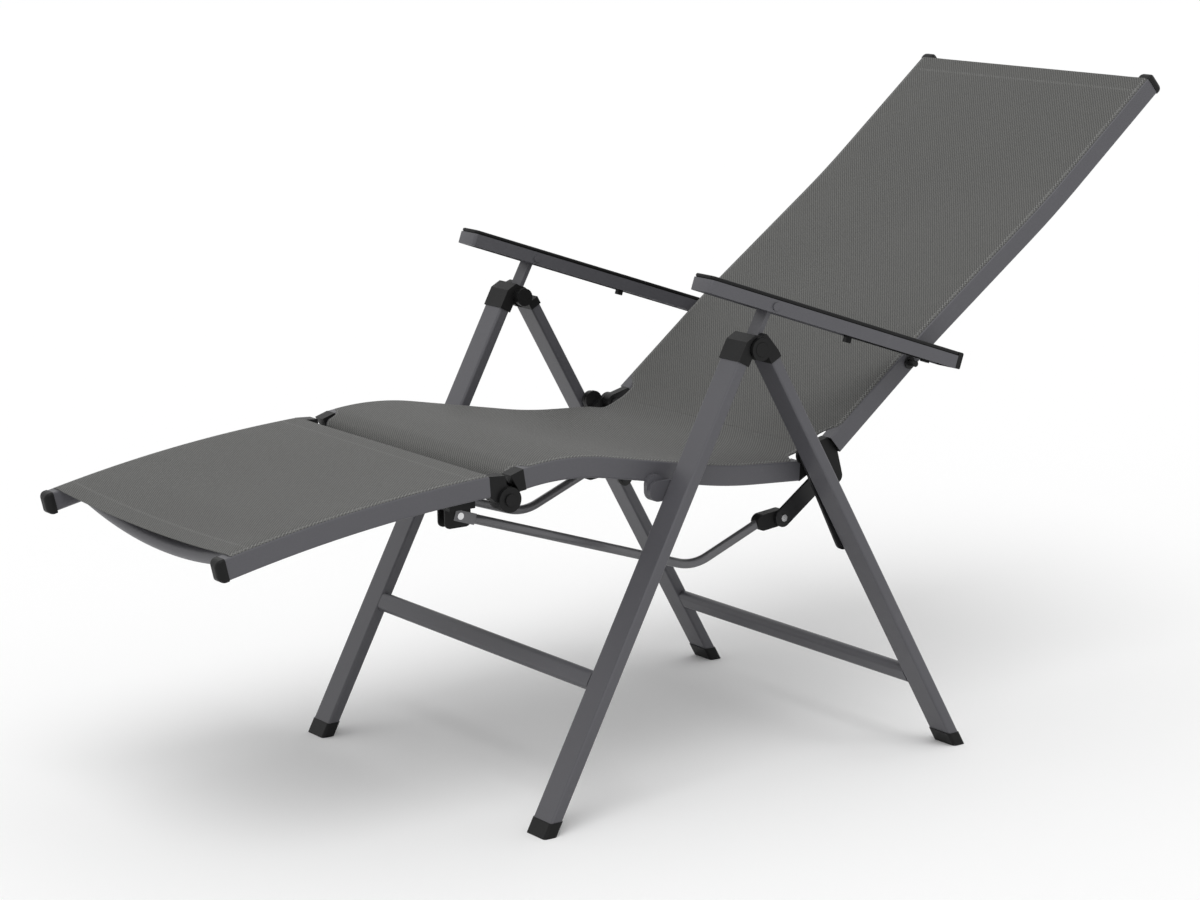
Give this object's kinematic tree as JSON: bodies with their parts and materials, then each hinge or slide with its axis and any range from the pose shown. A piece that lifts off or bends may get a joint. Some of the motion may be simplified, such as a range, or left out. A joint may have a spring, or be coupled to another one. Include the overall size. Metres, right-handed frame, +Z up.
{
  "type": "reclining garden armchair",
  "caption": "Folding high-back garden armchair with a stretched fabric seat, a reclining back coupled to a footrest, padded tilting arms and crossed legs that fold flat",
  "frame": {"origin": "centre of the chair's box on the floor", "axes": "+Z up, -Y the way the chair faces, +X the sitter's left"},
  "size_m": [0.5906, 1.4398, 0.8472],
  "materials": {
    "frame_paint": "satin",
    "black_plastic": "satin",
    "arm_pad": "satin",
    "black_steel": "satin",
    "rod_steel": "satin",
    "bright_steel": "polished",
    "sling_fabric": "woven"
  },
  "bodies": {
    "front_legs": {"front_leg_left": "frame_paint", "front_leg_right": "frame_paint", "front_crossbar": "frame_paint", "front_foot_caps": "black_plastic", "front_heads": "black_plastic", "top_pivots": "black_plastic", "arm_posts": "frame_paint", "leg_brackets": "frame_paint", "seat_pivots": "frame_paint"},
    "rear_legs": {"rear_leg_left": "frame_paint", "rear_leg_right": "frame_paint", "rear_crossbar": "frame_paint", "rear_foot_caps": "black_plastic", "rear_heads": "black_plastic", "link_pivots": "black_steel"},
    "link_left": {"link_left": "black_steel", "link_rivet_left": "black_steel"},
    "link_right": {"link_right": "black_steel", "link_rivet_right": "black_steel"},
    "seat": {"seat_rail_left": "frame_paint", "seat_rail_right": "frame_paint", "seat_lugs": "frame_paint", "seat_front_fittings": "black_plastic", "seat_rear_fittings": "black_plastic", "seat_front_tube": "frame_paint", "seat_fabric": "sling_fabric"},
    "back_pins": {"back_pins": "black_steel"},
    "backrest": {"back_rail_left": "frame_paint", "back_rail_right": "frame_paint", "back_hinges": "black_plastic", "back_end_caps": "black_plastic", "back_tube": "frame_paint", "back_levers": "black_steel", "lever_rivets": "bright_steel", "latch_pins": "black_steel", "back_fabric": "sling_fabric"},
    "footrest_pins": {"footrest_pins": "black_plastic"},
    "footrest": {"footrest_rail_left": "frame_paint", "footrest_rail_right": "frame_paint", "footrest_hinges": "black_plastic", "footrest_end_caps": "black_plastic", "footrest_brace": "frame_paint", "footrest_clips": "black_plastic", "footrest_fabric": "sling_fabric"},
    "rod_pins": {"rod_pins": "bright_steel"},
    "rod_left": {"rod_left": "rod_steel", "rod_eye_left": "black_plastic"},
    "rod_right": {"rod_right": "rod_steel", "rod_eye_right": "black_plastic"},
    "arm_pins": {"arm_pins": "frame_paint"},
    "arm_left": {"armrest_left": "frame_paint", "arm_pad_left": "arm_pad", "arm_end_cap_left": "black_plastic", "arm_rack_left": "black_plastic"},
    "arm_right": {"armrest_right": "frame_paint", "arm_pad_right": "arm_pad", "arm_end_cap_right": "black_plastic", "arm_rack_right": "black_plastic"}
  },
  "joints": [
    {"name": "leg_fold", "type": "hinge", "parent": "front_legs", "child": "rear_legs", "pos_m": [0, 0.00623, 0.562], "axis": [1, 0, 0], "range_deg": [-39, 0]},
    {"name": "seat_fold", "type": "hinge", "parent": "front_legs", "child": "seat", "pos_m": [0, -0.11977, 0.394], "axis": [1, 0, 0], "range_deg": [-96.41, 2]},
    {"name": "link_fold_left", "type": "hinge", "parent": "rear_legs", "child": "link_left", "pos_m": [0, 0.16953, 0.2903], "axis": [1, 0, 0], "range_deg": [-2, 143.77]},
    {"name": "link_fold_right", "type": "hinge", "parent": "rear_legs", "child": "link_right", "pos_m": [0, 0.16953, 0.2903], "axis": [1, 0, 0], "range_deg": [-2, 143.77]},
    {"name": "back_fold", "type": "hinge", "parent": "seat", "child": "back_pins", "pos_m": [0, 0.13623, 0.404], "axis": [1, 0, 0], "range_deg": [-2, 95.22]},
    {"name": "footrest_fold", "type": "hinge", "parent": "seat", "child": "footrest_pins", "pos_m": [0, -0.32797, 0.4108], "axis": [1, 0, 0], "range_deg": [-2, 93.32]},
    {"name": "rod_fold", "type": "hinge", "parent": "footrest", "child": "rod_pins", "pos_m": [0, -0.37777, 0.3925], "axis": [1, 0, 0], "range_deg": [-84.72, 2]},
    {"name": "arm_fold", "type": "hinge", "parent": "front_legs", "child": "arm_pins", "pos_m": [0, 0.03335, 0.61151], "axis": [1, 0, 0], "range_deg": [-62.88, 2]},
    {"name": "back_recline", "type": "hinge", "parent": "back_pins", "child": "backrest", "pos_m": [0, 0.13623, 0.404], "axis": [1, 0, 0], "range_deg": [0, 34]},
    {"name": "footrest_tilt", "type": "hinge", "parent": "footrest_pins", "child": "footrest", "pos_m": [0, -0.32797, 0.4108], "axis": [1, 0, 0], "range_deg": [-2, 69.9]},
    {"name": "rod_swing_left", "type": "hinge", "parent": "rod_pins", "child": "rod_left", "pos_m": [0, -0.37777, 0.3925], "axis": [1, 0, 0], "range_deg": [-66.31, 2]},
    {"name": "rod_swing_right", "type": "hinge", "parent": "rod_pins", "child": "rod_right", "pos_m": [0, -0.37777, 0.3925], "axis": [1, 0, 0], "range_deg": [-66.31, 2]},
    {"name": "arm_tilt_left", "type": "hinge", "parent": "arm_pins", "child": "arm_left", "pos_m": [0, 0.03335, 0.61151], "axis": [1, 0, 0], "range_deg": [-2, 13.48]},
    {"name": "arm_tilt_right", "type": "hinge", "parent": "arm_pins", "child": "arm_right", "pos_m": [0, 0.03335, 0.61151], "axis": [1, 0, 0], "range_deg": [-2, 13.48]}
  ],
  "couplings": [
    {"joint": "seat_fold", "follows": "leg_fold", "ratio": 2.4208},
    {"joint": "link_fold_left", "follows": "leg_fold", "ratio": -3.635},
    {"joint": "link_fold_right", "follows": "leg_fold", "ratio": -3.635},
    {"joint": "back_fold", "follows": "leg_fold", "ratio": -2.3902},
    {"joint": "footrest_fold", "follows": "leg_fold", "ratio": -2.3415},
    {"joint": "rod_fold", "follows": "leg_fold", "ratio": 2.1211},
    {"joint": "arm_fold", "follows": "leg_fold", "ratio": 1.561},
    {"joint": "footrest_tilt", "follows": "back_recline", "ratio": 1.9971},
    {"joint": "rod_swing_left", "follows": "back_recline", "ratio": -1.8914},
    {"joint": "rod_swing_right", "follows": "back_recline", "ratio": -1.8914},
    {"joint": "arm_tilt_left", "follows": "back_recline", "ratio": 0.33769},
    {"joint": "arm_tilt_right", "follows": "back_recline", "ratio": 0.33769}
  ]
}
